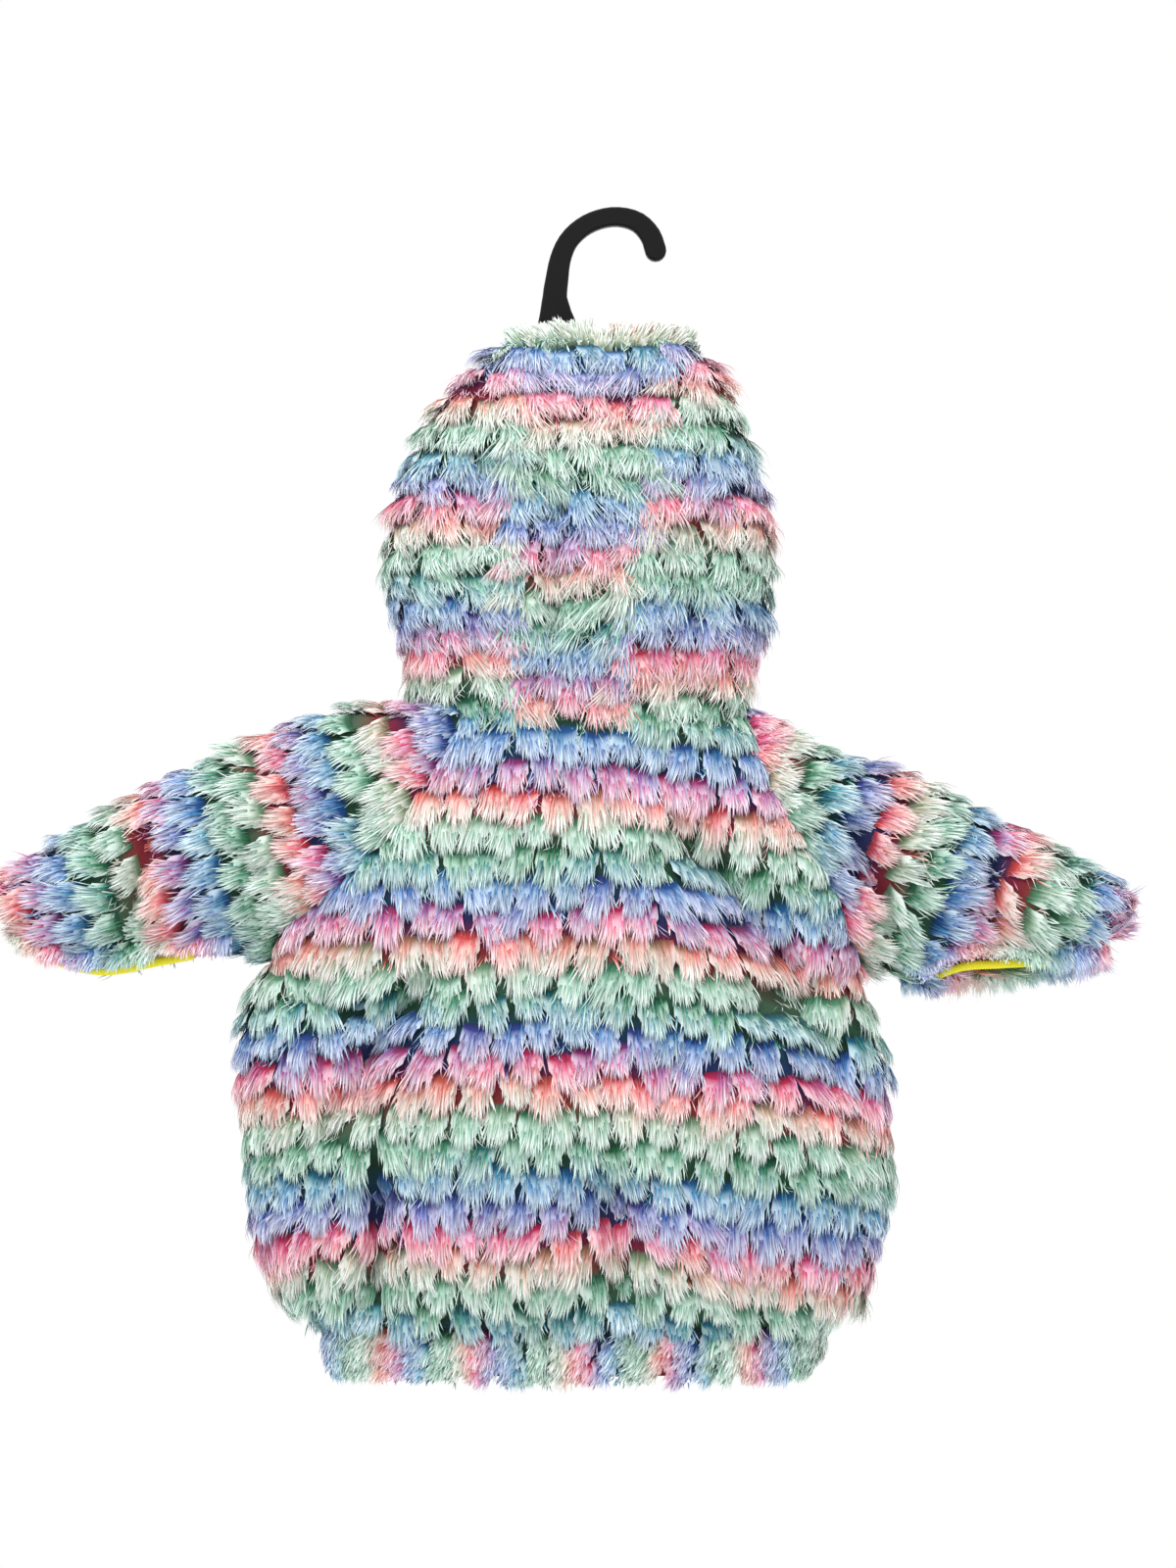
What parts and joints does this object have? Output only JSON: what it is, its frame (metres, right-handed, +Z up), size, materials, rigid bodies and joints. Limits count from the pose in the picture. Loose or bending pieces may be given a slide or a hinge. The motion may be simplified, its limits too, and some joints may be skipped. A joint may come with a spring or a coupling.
{
  "type": "ostrich costume top with hood and wing sleeves, on a hanger",
  "caption": "Toddler's plush hooded pullover of an ostrich costume, with pouch-tipped wing sleeves in pastel rainbow bands, hanging from a black moulded hanger",
  "frame": {"origin": "where a rail touches the inside of the hanger's hook", "axes": "+Z up, -Y out of the garment's back, which the picture shows, and +X towards the wing that the picture shows on its right"},
  "size_m": [0.5785, 0.1075, 0.5959],
  "materials": {
    "plush": "matte",
    "tape": "matte",
    "hanger_plastic": "satin"
  },
  "bodies": {
    "root": {"body_back": "plush", "body_front": "plush", "hem_band": "plush", "hood_centre": "plush", "hood_left": "plush", "hood_right": "plush", "wing_left": "plush", "slit_tape_left_back": "tape", "slit_tape_left_front": "tape", "wing_right": "plush", "slit_tape_right_back": "tape", "slit_tape_right_front": "tape", "hanger": "hanger_plastic"}
  },
  "joints": []
}
